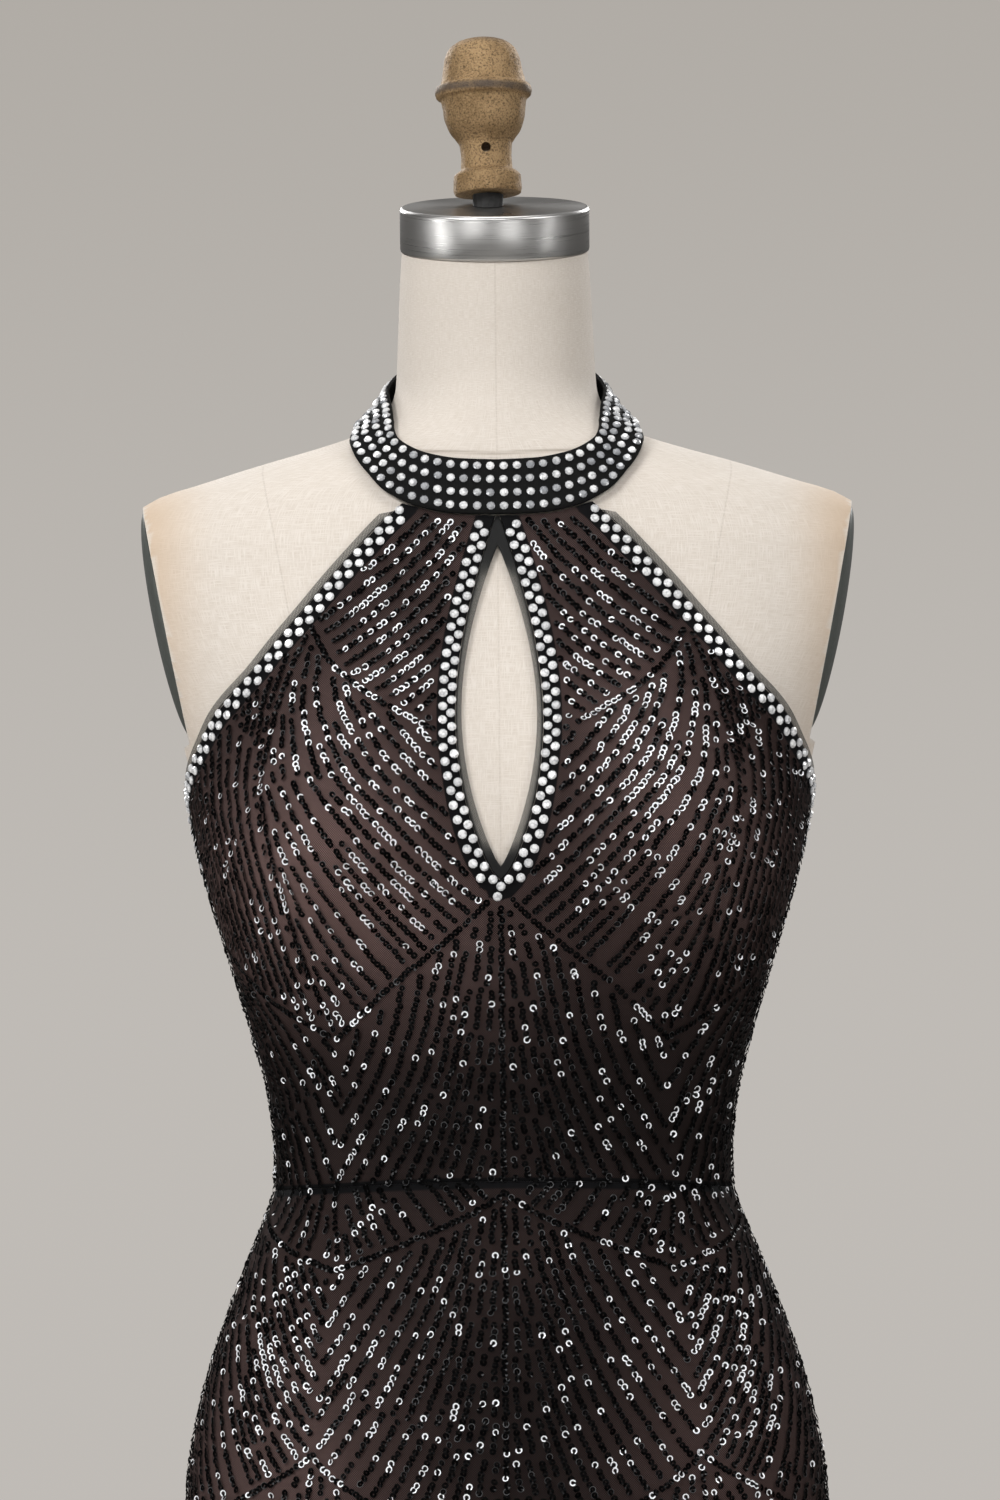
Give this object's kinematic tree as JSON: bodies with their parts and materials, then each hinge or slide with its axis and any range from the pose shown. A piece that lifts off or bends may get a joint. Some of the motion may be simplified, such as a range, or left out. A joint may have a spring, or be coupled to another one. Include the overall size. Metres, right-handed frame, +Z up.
{
  "type": "mermaid evening gown on a dress form",
  "caption": "Floor-length mermaid evening gown in sequined net with a keyhole halter front, jewelled collar and open back, worn on a limbless linen dress form on a stand.",
  "frame": {"origin": "on the floor, at the centre of the stand's round base, under the pole", "axes": "+Z up along the pole, -Y towards the gown's front, +X towards the right of someone who looks at the front"},
  "size_m": [0.799, 0.7466, 1.696],
  "materials": {
    "beaded_net": "satin",
    "collar_black": "matte",
    "binding_net": "matte",
    "zip_tape": "matte",
    "zip_metal": "gloss",
    "linen_canvas": "matte",
    "plate_grey": "satin",
    "neck_steel": "satin",
    "stem_black": "satin",
    "finial_gold": "satin",
    "pole_steel": "polished",
    "base_black": "satin"
  },
  "bodies": {
    "gown_on_form": {"front_bodice": "beaded_net", "back_bodice_left": "beaded_net", "back_bodice_right": "beaded_net", "skirt_front": "beaded_net", "skirt_back_left": "beaded_net", "skirt_back_right": "beaded_net", "collar": "collar_black", "keyhole_binding": "binding_net", "edge_binding_left": "binding_net", "edge_binding_right": "binding_net", "back_zip": "zip_tape", "zip_slider": "zip_metal", "form_body": "linen_canvas", "arm_plate_left": "plate_grey", "arm_plate_right": "plate_grey", "neck_cap": "neck_steel", "finial_stem": "stem_black", "finial": "finial_gold", "stand_pole": "pole_steel", "stand_base": "base_black"},
    "zip_pull": {"zip_pull": "zip_metal"}
  },
  "joints": [
    {"name": "zip_pull_hinge", "type": "hinge", "parent": "gown_on_form", "child": "zip_pull", "pos_m": [0, 0.09598, 1.0775], "axis": [1, 0, 0], "range_deg": [0, 150]}
  ]
}
